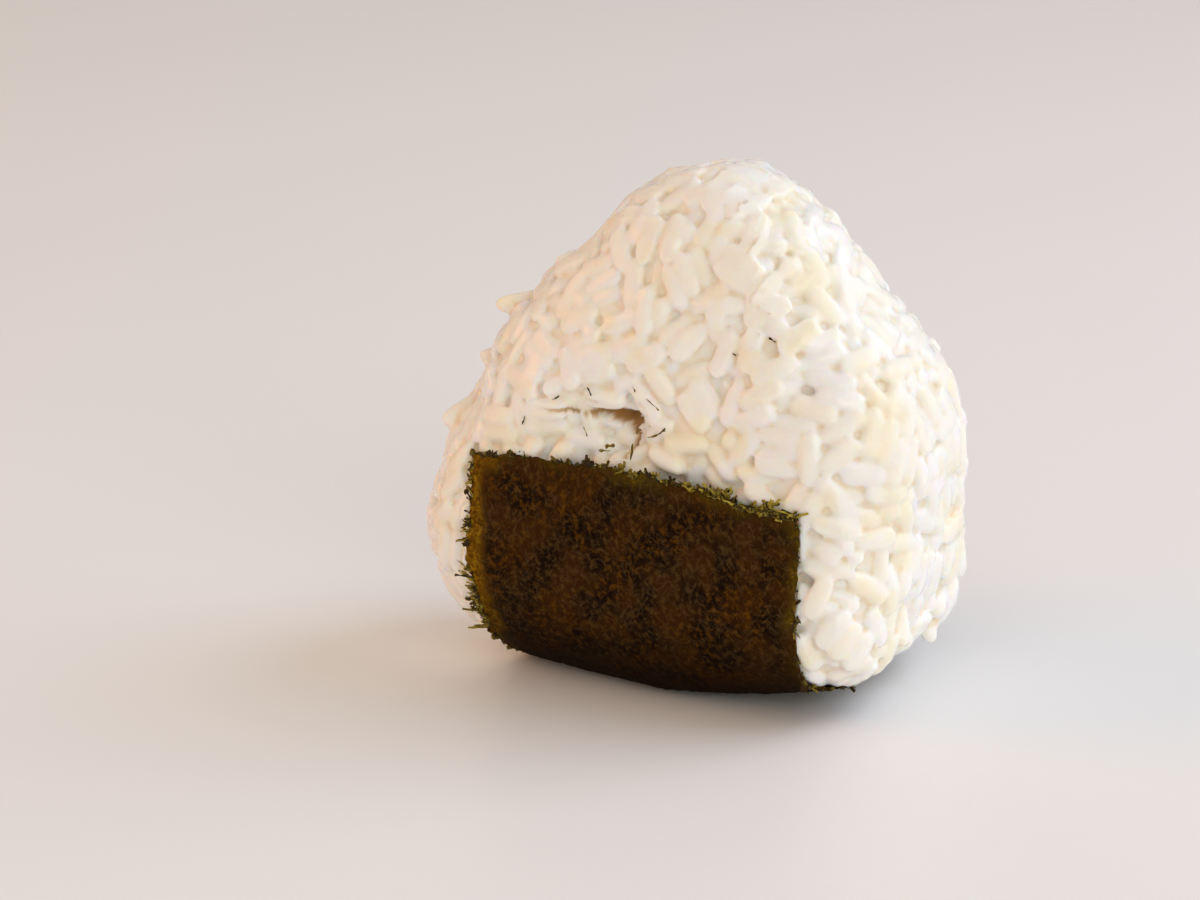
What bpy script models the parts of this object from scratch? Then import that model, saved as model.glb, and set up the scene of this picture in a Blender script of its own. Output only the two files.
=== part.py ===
"""Onigiri: a hand-pressed rounded triangle of rice standing on a strip of dried seaweed.

Metres, +Z up. The front face looks along -Y, the apex is up, and the origin is on the surface that
the onigiri stands on, below the middle of its box.
"""

import math

import bmesh
import bpy
from mathutils import Vector, noise
from mathutils.bvhtree import BVHTree

# ---------------------------------------------------------------- driving dimensions, in metres
HALF_DEPTH = 0.0214  # of the rice at its two lower corners
APEX_HALF_DEPTH = 0.0140
APEX_LEAN = -0.0014  # of the apex along Y
APEX = (0.0079, 0.0600)  # x and z of the middle of each rounded corner
APEX_RADIUS = 0.0182
LEFT_CORNER = (-0.0190, 0.0237)
LEFT_RADIUS = 0.0210
RIGHT_CORNER = (0.0268, 0.0172)
RIGHT_RADIUS = 0.0096
LEFT_BULGE = 0.0037  # how far the middle of a side is rounder than a straight side
RIGHT_BULGE = 0.0093
BOTTOM_BULGE = 0.0028
FLAT_DEPTH = 0.0017  # how much of the round underside is pressed flat

NORI_THICKNESS = 0.0005
NORI_GAP = 0.0003  # between the seaweed and the rice
NORI_LEFT = -0.0248  # x of the strip's two long edges
NORI_RIGHT = 0.0273
NORI_FRONT_TOP = 0.0358  # z that the strip reaches on each face
NORI_BACK_TOP = 0.0316
NORI_FLARE = 0.0037  # how far its right edge splays where it turns under the ball
FLARE_RISE = (0.30, 0.38)  # shares of the strip's length between which the splay grows
FLARE_FALL = (0.40, 0.48)
SAG_START = -0.0025  # x where the front edge starts to sag towards the right
SAG_DEPTH = 0.0046
RAG_DEPTH = 0.0007
RAG_SHARE = 0.12  # of the strip's length or width, from one notch to the next
LEFT_RAG, RIGHT_RAG, FRONT_RAG, BACK_RAG = 1.0, 5.0, 9.0, 13.0  # which run of notches an edge has

LUMP_HEIGHT = 0.0010  # of the pressed rice, about as coarse as two or three grains
LUMP_SIZE = 0.0079
GRAIN_HEIGHT = 0.0006
GRAIN_SIZE = 0.0040
GRAIN_LEVEL = 0.5  # distance from a knob's middle, in knobs, at which the rice is neither raised nor sunk
PRESS_DEPTH = 0.0002  # of the rice under the seaweed
PRESS_MARGIN = 0.0028
HOLLOW = (-0.0025, 0.0400)  # x and z of a gap left between clumps above the strip
HOLLOW_SIZE = (0.0102, 0.0042)
HOLLOW_DEPTH = 0.0020
HOLLOW_RIM = 0.3  # share of the hollow's size within which it has its full depth

HALF_WIDTH = 0.0386  # of the box that the rice's grid of vertices starts from
HALF_HEIGHT = 0.0372
SMOOTHINGS = 2
BALL_CELLS = (26, 13, 24)  # across, through and up
NORI_CELLS = (20, 28)  # across and along the strip
SECTION_HEIGHT = 0.0260  # z of the line that the strip's sections are measured round
SECTION_STEPS = 48

RICE_FLOOR = NORI_THICKNESS + NORI_GAP
RICE_COLOUR = (0.83, 0.76, 0.66)
NORI_COLOUR = (0.030, 0.024, 0.010)


def clamp(value, low, high):
    return max(low, min(high, value))


def smooth_step(low, high, value):
    t = clamp((value - low) / (high - low), 0.0, 1.0)
    return t * t * (3.0 - 2.0 * t)


def clear_scene():
    for obj in list(bpy.data.objects):
        bpy.data.objects.remove(obj, do_unlink=True)


def new_material(name, colour, roughness):
    material = bpy.data.materials.new(name)
    material.use_nodes = True
    shader = material.node_tree.nodes["Principled BSDF"]
    shader.inputs["Base Color"].default_value = (*colour, 1.0)
    shader.inputs["Roughness"].default_value = roughness
    shader.inputs["Metallic"].default_value = 0.0
    return material


def new_object(name, mesh, material, collection):
    obj = bpy.data.objects.new(name, mesh)
    mesh.materials.append(material)
    mesh.shade_smooth()
    collection.objects.link(obj)
    return obj


def side_lobe(first, second, bulge):
    """A lobe halfway along a side, pushed out of the side by its bulge."""
    along = Vector((second[0] - first[0], 0.0, second[1] - first[1])).normalized()
    outward = along.cross(Vector((0.0, 1.0, 0.0)))
    middle = [(a + b) / 2.0 for a, b in zip(first, second)]
    middle[0] += outward.x * bulge
    middle[1] += outward.z * bulge
    return tuple(middle)


def lobes():
    """Each lobe as x, z, radius, half depth and lean; the ball is stretched over all of them."""
    apex = (*APEX, APEX_RADIUS, APEX_HALF_DEPTH, APEX_LEAN)
    left = (*LEFT_CORNER, LEFT_RADIUS, HALF_DEPTH, 0.0)
    right = (*RIGHT_CORNER, RIGHT_RADIUS, HALF_DEPTH, 0.0)
    sides = [
        side_lobe(left, apex, LEFT_BULGE),
        side_lobe(apex, right, RIGHT_BULGE),
        side_lobe(right, left, BOTTOM_BULGE),
    ]
    return [apex, left, right, *sides]


def hull_tree():
    """The rounded triangle without relief, as a tree that rays can be cast against."""
    bm = bmesh.new()
    for x, z, radius, half_depth, lean in lobes():
        ball_depth = min(radius, half_depth)
        for side in (-1, 1):
            made = bmesh.ops.create_icosphere(bm, subdivisions=4, radius=radius)
            for vert in made["verts"]:
                vert.co.y *= ball_depth / radius
                vert.co += Vector((x, lean + side * (half_depth - ball_depth), z))
    bmesh.ops.delete(bm, geom=bm.edges[:], context="EDGES_FACES")
    bmesh.ops.convex_hull(bm, input=bm.verts)
    loose = [vert for vert in bm.verts if not vert.link_faces]
    bmesh.ops.delete(bm, geom=loose, context="VERTS")
    tree = BVHTree.FromBMesh(bm)
    bm.free()
    return tree


def is_along(edge, axis):
    """Whether an edge of the starting cube runs along an axis."""
    return abs(edge.verts[0].co[axis] - edge.verts[1].co[axis]) > 1.0


def new_base(tree):
    """The smooth rounded triangle with its pressed flat underside at the height of the rice."""
    bm = bmesh.new()
    bmesh.ops.create_cube(bm, size=2.0)
    for axis, cells in enumerate(BALL_CELLS):
        edges = [edge for edge in bm.edges if is_along(edge, axis)]
        bmesh.ops.subdivide_edges(bm, edges=edges, cuts=cells - 1, use_grid_fill=True)
    middle = Vector((0.0, 0.0, HALF_HEIGHT))
    for vert in bm.verts:
        way = Vector((vert.co.x * HALF_WIDTH, vert.co.y * HALF_DEPTH, vert.co.z * HALF_HEIGHT))
        vert.co = tree.ray_cast(middle, way)[0]
    for _ in range(SMOOTHINGS):
        bmesh.ops.smooth_vert(
            bm, verts=bm.verts, factor=0.5, use_axis_x=True, use_axis_y=True, use_axis_z=True
        )
    floor = min(vert.co.z for vert in bm.verts) + FLAT_DEPTH
    for vert in bm.verts:
        vert.co.z = max(vert.co.z - floor, 0.0) + RICE_FLOOR
    bm.normal_update()
    return bm


def front_top(x):
    """Height of the strip's edge on the front face: level on the left, sagging to the right."""
    sag = smooth_step(SAG_START, NORI_RIGHT, x)
    return NORI_FRONT_TOP - SAG_DEPTH * sag


def under_nori(point):
    """1 where the seaweed presses on the rice, falling to 0 a little way outside it."""
    across = min(point.x - NORI_LEFT, NORI_RIGHT + NORI_FLARE - point.x)
    top = front_top(point.x) if point.y < 0.0 else NORI_BACK_TOP
    inside = min(across, top - point.z)
    return smooth_step(-PRESS_MARGIN, 0.0, inside)


def relief(point):
    """How far the pressed rice stands out: soft lumps with grain-sized knobs, and one hollow in front."""
    lumps = noise.noise(point / LUMP_SIZE) * LUMP_HEIGHT
    distances = noise.voronoi(point / GRAIN_SIZE)[0]
    knobs = (GRAIN_LEVEL - distances[0]) * GRAIN_HEIGHT
    away = math.hypot(
        (point.x - HOLLOW[0]) / HOLLOW_SIZE[0],
        (point.z - HOLLOW[1]) / HOLLOW_SIZE[1],
    )
    hollow = smooth_step(1.0, HOLLOW_RIM, away) * HOLLOW_DEPTH if point.y < 0.0 else 0.0
    return lumps + knobs - hollow


def new_ball(base, collection):
    bm = base.copy()
    for vert in bm.verts:
        pressed = under_nori(vert.co)
        out = relief(vert.co) * (1.0 - pressed) - PRESS_DEPTH * pressed
        vert.co += vert.normal * out
        vert.co.z = max(vert.co.z, RICE_FLOOR)
    mesh = bpy.data.meshes.new("rice_ball")
    bm.to_mesh(mesh)
    bm.free()
    rice = new_material("cooked_rice", RICE_COLOUR, 0.45)
    return new_object("rice_ball", mesh, rice, collection)


def section(tree, x, top_front, top_back):
    """Points on the smooth ball at one x, from the front edge down, under it and up to the back edge."""
    points = []
    start = math.atan2(top_front - SECTION_HEIGHT, HALF_DEPTH)
    end = math.atan2(top_back - SECTION_HEIGHT, HALF_DEPTH)
    middle = Vector((x, 0.0, SECTION_HEIGHT))
    for step in range(SECTION_STEPS + 1):
        angle = start + (-math.pi - end - start) * step / SECTION_STEPS
        way = Vector((0.0, -math.cos(angle), math.sin(angle)))
        hit, normal = tree.ray_cast(middle, way)[:2]
        points.append((hit, normal))
    return points


def at_share(points, share):
    """The point and normal at a share of the length of a run of points."""
    lengths = [0.0]
    for (first, _), (second, _) in zip(points, points[1:]):
        lengths.append(lengths[-1] + (second - first).length)
    wanted = share * lengths[-1]
    for index in range(1, len(lengths)):
        if lengths[index] >= wanted or index == len(lengths) - 1:
            break
    step = clamp((wanted - lengths[index - 1]) / (lengths[index] - lengths[index - 1]), 0.0, 1.0)
    (first, first_normal), (second, second_normal) = points[index - 1], points[index]
    return first.lerp(second, step), first_normal.lerp(second_normal, step).normalized()


def ragged(value, seed):
    """A small uneven shift along a torn edge."""
    return noise.noise(Vector((value / RAG_SHARE, seed, 0.0))) * RAG_DEPTH


def new_nori(base, collection):
    tree = BVHTree.FromBMesh(base)
    across, along = NORI_CELLS
    bm = bmesh.new()
    bmesh.ops.create_grid(bm, x_segments=across, y_segments=along, size=0.5)
    for vert in bm.verts:
        share_across = vert.co.x + 0.5
        share_along = 0.5 - vert.co.y
        splay = smooth_step(*FLARE_RISE, share_along) * (1.0 - smooth_step(*FLARE_FALL, share_along))
        left = NORI_LEFT + ragged(share_along, LEFT_RAG)
        right = NORI_RIGHT + NORI_FLARE * splay + ragged(share_along, RIGHT_RAG)
        x = left + (right - left) * share_across
        front = front_top(x) + ragged(share_across, FRONT_RAG)
        back = NORI_BACK_TOP + ragged(share_across, BACK_RAG)
        points = section(tree, x, front, back)
        point, normal = at_share(points, share_along)
        vert.co = point + normal * NORI_GAP
    bmesh.ops.recalc_face_normals(bm, faces=bm.faces)
    bm.normal_update()
    middle = max(bm.faces, key=lambda face: -face.calc_center_median().z)
    if middle.normal.z > 0.0:
        bmesh.ops.reverse_faces(bm, faces=bm.faces)
    mesh = bpy.data.meshes.new("nori_strip")
    bm.to_mesh(mesh)
    bm.free()
    seaweed = new_material("dried_seaweed", NORI_COLOUR, 0.55)
    obj = new_object("nori_strip", mesh, seaweed, collection)
    wall = obj.modifiers.new("wall", "SOLIDIFY")
    wall.thickness = NORI_THICKNESS
    wall.offset = 1.0
    return obj


def centre_on_origin(widest, *meshes):
    """Moves every mesh so that the origin is below the middle of the widest one."""
    for axis in (0, 1):
        places = [vert.co[axis] for vert in widest.vertices]
        middle = (min(places) + max(places)) / 2.0
        for mesh in meshes:
            for vert in mesh.vertices:
                vert.co[axis] -= middle


def main():
    clear_scene()
    collection = bpy.data.collections.new("onigiri")
    bpy.context.scene.collection.children.link(collection)
    base = new_base(hull_tree())
    nori = new_nori(base, collection)
    ball = new_ball(base, collection)
    base.free()
    centre_on_origin(ball.data, ball.data, nori.data)


main()
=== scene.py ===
"""Looks of a hand-pressed onigiri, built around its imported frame.

Cooked grains are packed in layers over a smaller core and fused into one rice body, and a felted
seaweed strip with torn edges wraps the foot. Metres, +Z up, front to -Y.
"""

import math
from functools import partialmethod

import bpy
import numpy as np
from mathutils import Matrix, Vector, noise
from mathutils.bvhtree import BVHTree
from mathutils.kdtree import KDTree


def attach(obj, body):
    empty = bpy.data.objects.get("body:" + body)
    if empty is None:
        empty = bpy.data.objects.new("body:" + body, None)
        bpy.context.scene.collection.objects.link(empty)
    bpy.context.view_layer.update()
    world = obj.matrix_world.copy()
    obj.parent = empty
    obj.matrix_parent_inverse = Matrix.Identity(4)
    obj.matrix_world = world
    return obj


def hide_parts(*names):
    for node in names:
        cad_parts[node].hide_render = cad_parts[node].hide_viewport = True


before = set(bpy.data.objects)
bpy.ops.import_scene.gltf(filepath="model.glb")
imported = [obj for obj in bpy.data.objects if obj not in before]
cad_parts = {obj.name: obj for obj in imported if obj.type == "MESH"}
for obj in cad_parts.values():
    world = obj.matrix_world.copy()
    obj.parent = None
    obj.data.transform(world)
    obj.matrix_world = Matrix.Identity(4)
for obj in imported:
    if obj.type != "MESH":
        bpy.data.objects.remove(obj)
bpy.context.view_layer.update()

MM = 0.001
UP = Vector((0.0, 0.0, 1.0))
START_Y = -40.0  # in millimetres, in front of everything

# -------- sizes of the rice
GRAIN_LENGTH = 6.9 * MM
GRAIN_WIDTH = 3.1 * MM
GRAIN_THICKNESS = 2.8 * MM
GRAIN_SPREAD = 0.08  # share by which one grain differs from the next
PRESSED_WIDTH = 0.79  # share of its width that a grain keeps to itself where it is pressed against others
LAYER_DEPTHS = (1.95 * MM, 3.5 * MM, 5.2 * MM)  # of the middle of the grains under the pressed surface
LAYER_AREAS = (12.6 * MM * MM, 14.5 * MM * MM, 22.0 * MM * MM)  # of surface for each grain of a layer
CORE_DEPTH = 2.3 * MM
TUCK = 3.0 * MM  # how far grains still lie under the seaweed's edge
FUSE_VOXEL = 0.34 * MM
FUSE_ROUNDS = 4
SWELL = 0.12 * MM  # that grains grow before they fuse and the skin then draws back, to fill narrow gaps
FUSE_TRIANGLES = 192000
SEED = 11

# The step in the front face above the seaweed: the rice under it lies further in.
LEDGE_X = np.array((-14.0, -2.5, 8.0, 26.0)) * MM
LEDGE_RISE = np.array((5.4, 5.0, 3.8, 2.2)) * MM  # over the seaweed's top edge
DEPTH_SPREAD = 0.30 * MM  # by which the grains of a layer lie higher or deeper
LUMP_SIZE = 7.5 * MM
LUMP_DEPTH = 0.55 * MM  # by which whole patches of grains lie higher or deeper
TILTED_SHARE = 0.22  # of the grains, which lie aslant instead of flat
SHELF_X = np.array((-19.0, -13.0, -8.0, 4.0, 10.0, 26.0, 29.0)) * MM
SHELF_DEPTH = np.array((0.0, 0.7, 1.5, 1.5, 1.1, 0.9, 0.0)) * MM

# The crack under the ledge, as tapering lines in the front face, in millimetres:
# x and z of one end, half width there, then the same for the other end.
CRACK_LINES = (
    (-13.2, 42.0, 0.14, -4.4, 41.3, 0.50),
    (-4.4, 41.3, 0.60, 3.6, 42.0, 0.20),
    (-2.9, 40.8, 0.75, 0.2, 40.6, 1.00),
    (-0.3, 40.4, 1.00, 0.4, 38.2, 0.45),
    (0.4, 38.4, 0.45, 0.0, 36.0, 0.28),
    (-7.6, 44.6, 0.10, -4.2, 42.9, 0.26),
    (-1.0, 45.9, 0.08, 3.4, 42.8, 0.20),
)
CRACK_DEPTH = 3.0 * MM
CRACK_RIM = 0.45 * MM  # width over which its edges round off
# Grains that lie in a place of their own: x and z on the front, way, depth of the middle.
LAID_GRAINS = (
    ((12.3, 45.4), (0.62, 0.0, -0.78), 0.45),
    ((16.9, 45.2), (0.30, 0.0, 0.95), 0.65),
    ((11.1, 68.0), (0.25, -0.55, 0.80), 0.65),
    ((-6.6, 38.4), (0.97, 0.0, -0.16), 1.35),
    ((4.4, 39.6), (0.78, 0.0, 0.55), 1.50),
    ((6.4, 36.6), (0.93, 0.0, -0.36), 1.50),
    ((-12.6, 39.4), (0.97, 0.0, 0.12), 1.30),
    ((-3.4, 43.4), (0.97, 0.0, -0.10), 0.75),
    ((3.4, 43.6), (0.55, 0.0, -0.80), 0.85),
)
# Grains whose ends stick out of the outline: the end's place and the way that it points.
STICKING_GRAINS = (
    ((-17.6, -5.4, 59.2), (-0.80, -0.50, -0.10)),
    ((-27.0, -6.0, 52.4), (-0.82, -0.48, -0.15)),
    ((-30.4, -6.4, 44.5), (-0.84, -0.45, -0.10)),
    ((-34.8, -9.6, 35.0), (-0.70, -0.40, -0.50)),
    ((34.6, 7.4, 5.6), (0.25, 0.10, -0.95)),
    ((36.6, -6.5, 9.2), (0.20, -0.15, -0.95)),
)
PACK_STEPS, PAIR_STEPS, SETTLE_STEPS = 96, 6, 3  # pushes in all, between pair searches, between settlings
PACK_SPARE = 1.12  # times as many grains as the open surface holds, for those that lie tucked under the edge
PUSH_SHARE = 0.36  # of an overlap, by which each grain of a pair moves
PAIR_REACH = 8.5 * MM  # between the middles of grains that may touch
TURN_ARM = 3.0 * MM
SETTLE_SHARE = 0.4  # of the way back to its own depth
LEVEL_TILTED, LEVEL_FLAT = 0.02, 0.25  # share of its slant that a grain loses each time it settles
LEDGE_MARGIN = 1.1 * MM


# -------- node trees
class Value:
    """A socket that gives a value, so that arithmetic on it adds Math nodes."""

    def __init__(self, tree, socket):
        self.tree = tree
        self.socket = socket

    def maths(self, operation, *others):
        inputs = dict(enumerate((self, *others)))
        return self.tree.add("ShaderNodeMath", {"operation": operation}, inputs)

    __add__ = __radd__ = partialmethod(maths, "ADD")
    __sub__ = partialmethod(maths, "SUBTRACT")
    __mul__ = __rmul__ = partialmethod(maths, "MULTIPLY")
    __truediv__ = partialmethod(maths, "DIVIDE")
    __pow__ = partialmethod(maths, "POWER")

    def __rsub__(self, other):
        return self.maths("MULTIPLY", -1.0).maths("ADD", other)


class Tree:
    """A node tree that is being built, one node at a time."""

    def __init__(self, tree):
        self.tree = tree

    def add(self, kind, settings=None, inputs=None, out=0):
        """One node: its settings first, then its sockets' values or links. Gives the output asked for."""
        node = self.tree.nodes.new(kind)
        for name, value in (settings or {}).items():
            if name == "stops":
                self.set_stops(node.color_ramp, value)
            elif name == "items":
                for item in value:
                    node.enum_items.new(item)
            else:
                setattr(node, name, value)
        for key, value in (inputs or {}).items():
            socket = node.inputs[key]
            if isinstance(value, Value):
                self.tree.links.new(value.socket, socket)
            else:
                socket.default_value = value
        return Value(self, node.outputs[out]) if node.outputs else node

    def set_stops(self, ramp, stops):
        while len(ramp.elements) < len(stops):
            ramp.elements.new(0.5)
        for element, (place, colour) in zip(ramp.elements, stops):
            element.position = place
            element.color = colour if len(colour) == 4 else (*colour, 1.0)


class Finish(Tree):
    """A material's tree around one Principled BSDF, with the patterns that its materials share."""

    def __init__(self, name, fixed):
        self.material = bpy.data.materials.new(name)
        self.material.use_nodes = True
        super().__init__(self.material.node_tree)
        self.shader = self.tree.nodes["Principled BSDF"]
        for key, value in fixed.items():
            self.shader.inputs[key].default_value = value
        self.place = self.add("ShaderNodeTexCoord", out="Object")

    def height(self):
        split = self.add("ShaderNodeSeparateXYZ", inputs={0: self.place})
        return Value(self, split.socket.node.outputs["Z"])

    def attribute(self, name):
        return self.add("ShaderNodeAttribute", {"attribute_name": name}, out="Fac")

    def noise(self, size, detail=3.0, roughness=0.5, place=None):
        inputs = {"Vector": place or self.place, "Scale": 1.0 / size}
        inputs.update({"Detail": detail, "Roughness": roughness})
        return self.add("ShaderNodeTexNoise", inputs=inputs)

    def between(self, value, low, high):
        inputs = {"Value": value, "From Min": low, "From Max": high}
        return self.add("ShaderNodeMapRange", {"interpolation_type": "SMOOTHSTEP"}, inputs)

    def mix(self, share, first, second):
        """Colours mixed by a share; either may be a plain colour."""
        first, second = [
            colour if isinstance(colour, Value) or len(colour) == 4 else (*colour, 1.0)
            for colour in (first, second)
        ]
        return self.add("ShaderNodeMix", {"data_type": "RGBA"}, {0: share, 6: first, 7: second}, out=2)

    def bump(self, height, distance, strength=1.0, below=None):
        inputs = {"Height": height, "Distance": distance, "Strength": strength}
        if below is not None:
            inputs["Normal"] = below
        return self.add("ShaderNodeBump", inputs=inputs)

    def use(self, **links):
        """Feeds values into the shader, named with underscores for spaces."""
        for name, value in links.items():
            self.tree.links.new(value.socket, self.shader.inputs[name.replace("_", " ")])
        return self.material


class Maker(Tree):
    """A Geometry Nodes tree with named inputs, which ends in Realize Instances and Set Material."""

    def __init__(self, name, **inputs):
        super().__init__(bpy.data.node_groups.new(name, "GeometryNodeTree"))
        sockets = {"Geometry": "NodeSocketGeometry"}
        for key, value in inputs.items():
            kind = "NodeSocketInt" if isinstance(value, int) else "NodeSocketFloat"
            sockets[key] = "NodeSocketCollection" if value is None else kind
        for key, kind in sockets.items():
            socket = self.tree.interface.new_socket(key, in_out="INPUT", socket_type=kind)
            if inputs.get(key) is not None:
                socket.default_value = inputs[key]
        self.tree.interface.new_socket("Geometry", in_out="OUTPUT", socket_type="NodeSocketGeometry")
        node = self.tree.nodes.new("NodeGroupInput")
        self.inputs = {key: Value(self, node.outputs[key]) for key in sockets}

    def finish(self, geometry, material):
        real = self.add("GeometryNodeRealizeInstances", inputs={"Geometry": geometry})
        smooth = self.add("GeometryNodeSetShadeSmooth", inputs={"Geometry": real})
        painted = self.add("GeometryNodeSetMaterial", inputs={"Geometry": smooth, "Material": material})
        node = self.tree.nodes.new("NodeGroupOutput")
        self.tree.links.new(painted.socket, node.inputs[0])

    def run(self, mesh, name, **values):
        """The plain mesh that the tree makes from this mesh and these input values."""
        holder = linked(name + "_points", mesh)
        modifier = holder.modifiers.new(name, "NODES")
        modifier.node_group = self.tree
        for item in self.tree.interface.items_tree:
            if item.in_out == "INPUT" and item.name in values:
                modifier[item.identifier] = values[item.name]
        return taken(holder, name)


def linked(name, data):
    """A new object in the scene."""
    made = bpy.data.objects.new(name, data)
    bpy.context.scene.collection.objects.link(made)
    return made


def taken(holder, name):
    """The evaluated mesh of a helper object, which is then removed."""
    bpy.context.view_layer.update()
    evaluated = holder.evaluated_get(bpy.context.evaluated_depsgraph_get())
    mesh = bpy.data.meshes.new_from_object(evaluated)
    mesh.name = name
    old = holder.data
    bpy.data.objects.remove(holder)
    bpy.data.meshes.remove(old)
    return mesh


def new_piece(name, mesh, material, slot_name, *nodes):
    """A finished piece that rides on the rice ball's body."""
    piece = linked(name, mesh)
    mesh.materials.clear()
    mesh.materials.append(material)
    mesh.shade_smooth()
    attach(piece, "root")
    if nodes:
        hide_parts(*nodes)
    return piece


# -------- meshes as arrays
def coordinates(mesh):
    found = np.zeros(len(mesh.vertices) * 3, np.float32)
    mesh.vertices.foreach_get("co", found)
    return found.reshape(-1, 3).astype(float)


def triangles(mesh):
    mesh.calc_loop_triangles()
    found = np.zeros(len(mesh.loop_triangles) * 3, np.int32)
    mesh.loop_triangles.foreach_get("vertices", found)
    return found.reshape(-1, 3)


def welded_copy(node):
    """A CAD node's mesh as points and triangles, with its loose triangles joined."""
    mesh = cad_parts[node].data
    points = coordinates(mesh)
    faces = triangles(mesh)
    keys, index = np.unique(np.round(points / (0.001 * MM)).astype(np.int64), axis=0, return_inverse=True)
    return keys * (0.001 * MM), index.reshape(-1)[faces]


def mesh_of(name, points, faces):
    mesh = bpy.data.meshes.new(name)
    mesh.from_pydata([tuple(point) for point in points], [], [tuple(face) for face in faces])
    return mesh


def set_attribute(mesh, name, values, kind="FLOAT"):
    attribute = mesh.attributes.new(name, kind, "POINT")
    key = "value" if kind == "FLOAT" else "vector"
    attribute.data.foreach_set(key, np.asarray(values, np.float32).ravel())


def unit(vectors):
    return vectors / np.maximum(np.linalg.norm(vectors, axis=-1, keepdims=True), 1e-12)


def nearest(tree, points):
    """The nearest place on a surface to each point, and the surface's outward direction there."""
    places = np.empty_like(points)
    normals = np.empty_like(points)
    for index, point in enumerate(points):
        place, normal = tree.find_nearest(Vector(point))[:2]
        places[index] = place
        normals[index] = normal
    return places, normals


class Surface:
    """The pressed outline of the rice, and where the seaweed covers it."""

    def __init__(self):
        self.points, self.faces = welded_copy("rice_ball")
        self.tree = BVHTree.FromPolygons(self.points.tolist(), self.faces.tolist())
        self.nori_points, nori_faces = welded_copy("nori_strip")
        self.nori = BVHTree.FromPolygons(self.nori_points.tolist(), nori_faces.tolist())
        corners = self.points[self.faces]
        cross = np.cross(corners[:, 1] - corners[:, 0], corners[:, 2] - corners[:, 0])
        self.areas = np.linalg.norm(cross, axis=1) / 2.0
        rng = np.random.default_rng(SEED)
        samples = self.sample(rng, 9000)
        open_air = [point for point in samples if self.cover_distance(point) > 0.8 * MM]
        self.open_air = KDTree(len(open_air))
        for index, point in enumerate(open_air):
            self.open_air.insert(point, index)
        self.open_air.balance()
        self.open_area = self.areas.sum() * len(open_air) / len(samples)
        front = self.nori_points[self.nori_points[:, 1] < -10 * MM]
        self.edge_x = np.arange(-24.0, 27.0, 3.0) * MM
        self.edge_z = np.array([front[np.abs(front[:, 0] - x) < 2.2 * MM, 2].max() for x in self.edge_x])

    def sample(self, rng, count):
        chosen = rng.choice(len(self.faces), count, p=self.areas / self.areas.sum())
        corners = self.points[self.faces[chosen]]
        a, b = rng.random((2, count, 1))
        over = a + b > 1.0
        a, b = np.where(over, 1.0 - a, a), np.where(over, 1.0 - b, b)
        return corners[:, 0] + a * (corners[:, 1] - corners[:, 0]) + b * (corners[:, 2] - corners[:, 0])

    def cover_distance(self, point):
        return self.nori.find_nearest(Vector(point))[3]

    def bare_distance(self, point):
        """How far a covered place is from the nearest bare one."""
        return self.open_air.find(Vector(point))[2]

    def signed_depth(self, points):
        places, normals = nearest(self.tree, points)
        return np.einsum("ij,ij->i", places - points, normals), normals, places

    def in_front(self, place):
        """The surface at an x and z in millimetres, seen from the front, and its outward direction."""
        start = np.array((place[0], START_Y, place[1])) * MM
        hit, normal = self.tree.ray_cast(Vector(start), Vector((0.0, 1.0, 0.0)))[:2]
        return np.array(hit), np.array(normal)

    def ledge_height(self, x):
        return np.interp(x, self.edge_x, self.edge_z) + np.interp(x, LEDGE_X, LEDGE_RISE)

    def shelf(self, places, margin=0.0):
        """How much further in the rice lies under the ledge."""
        x, y, z = places.T
        below = smooth_step((self.ledge_height(x) + margin - z) / (0.6 * MM) + 0.5)
        low_end = smooth_step((z - 22 * MM) / (8 * MM))
        front = y < -6 * MM
        return np.interp(x, SHELF_X, SHELF_DEPTH) * below * low_end * front


def smooth_step(share):
    share = np.clip(share, 0.0, 1.0)
    return share * share * (3.0 - 2.0 * share)


# -------- packing the grains
def closest_on_grains(between, ways, halves):
    """Where the middle lines of two grains come closest, as distances along each."""
    slant = np.einsum("ij,ij->i", *ways)
    first, second = (np.einsum("ij,ij->i", way, between) for way in ways)
    s = (slant * second - first) / np.maximum(1.0 - slant**2, 1e-4)
    s = np.clip(s, -halves[0], halves[0])
    t = np.clip(second + slant * s, -halves[1], halves[1])
    return np.clip(slant * t - first, -halves[0], halves[0]), t


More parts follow.
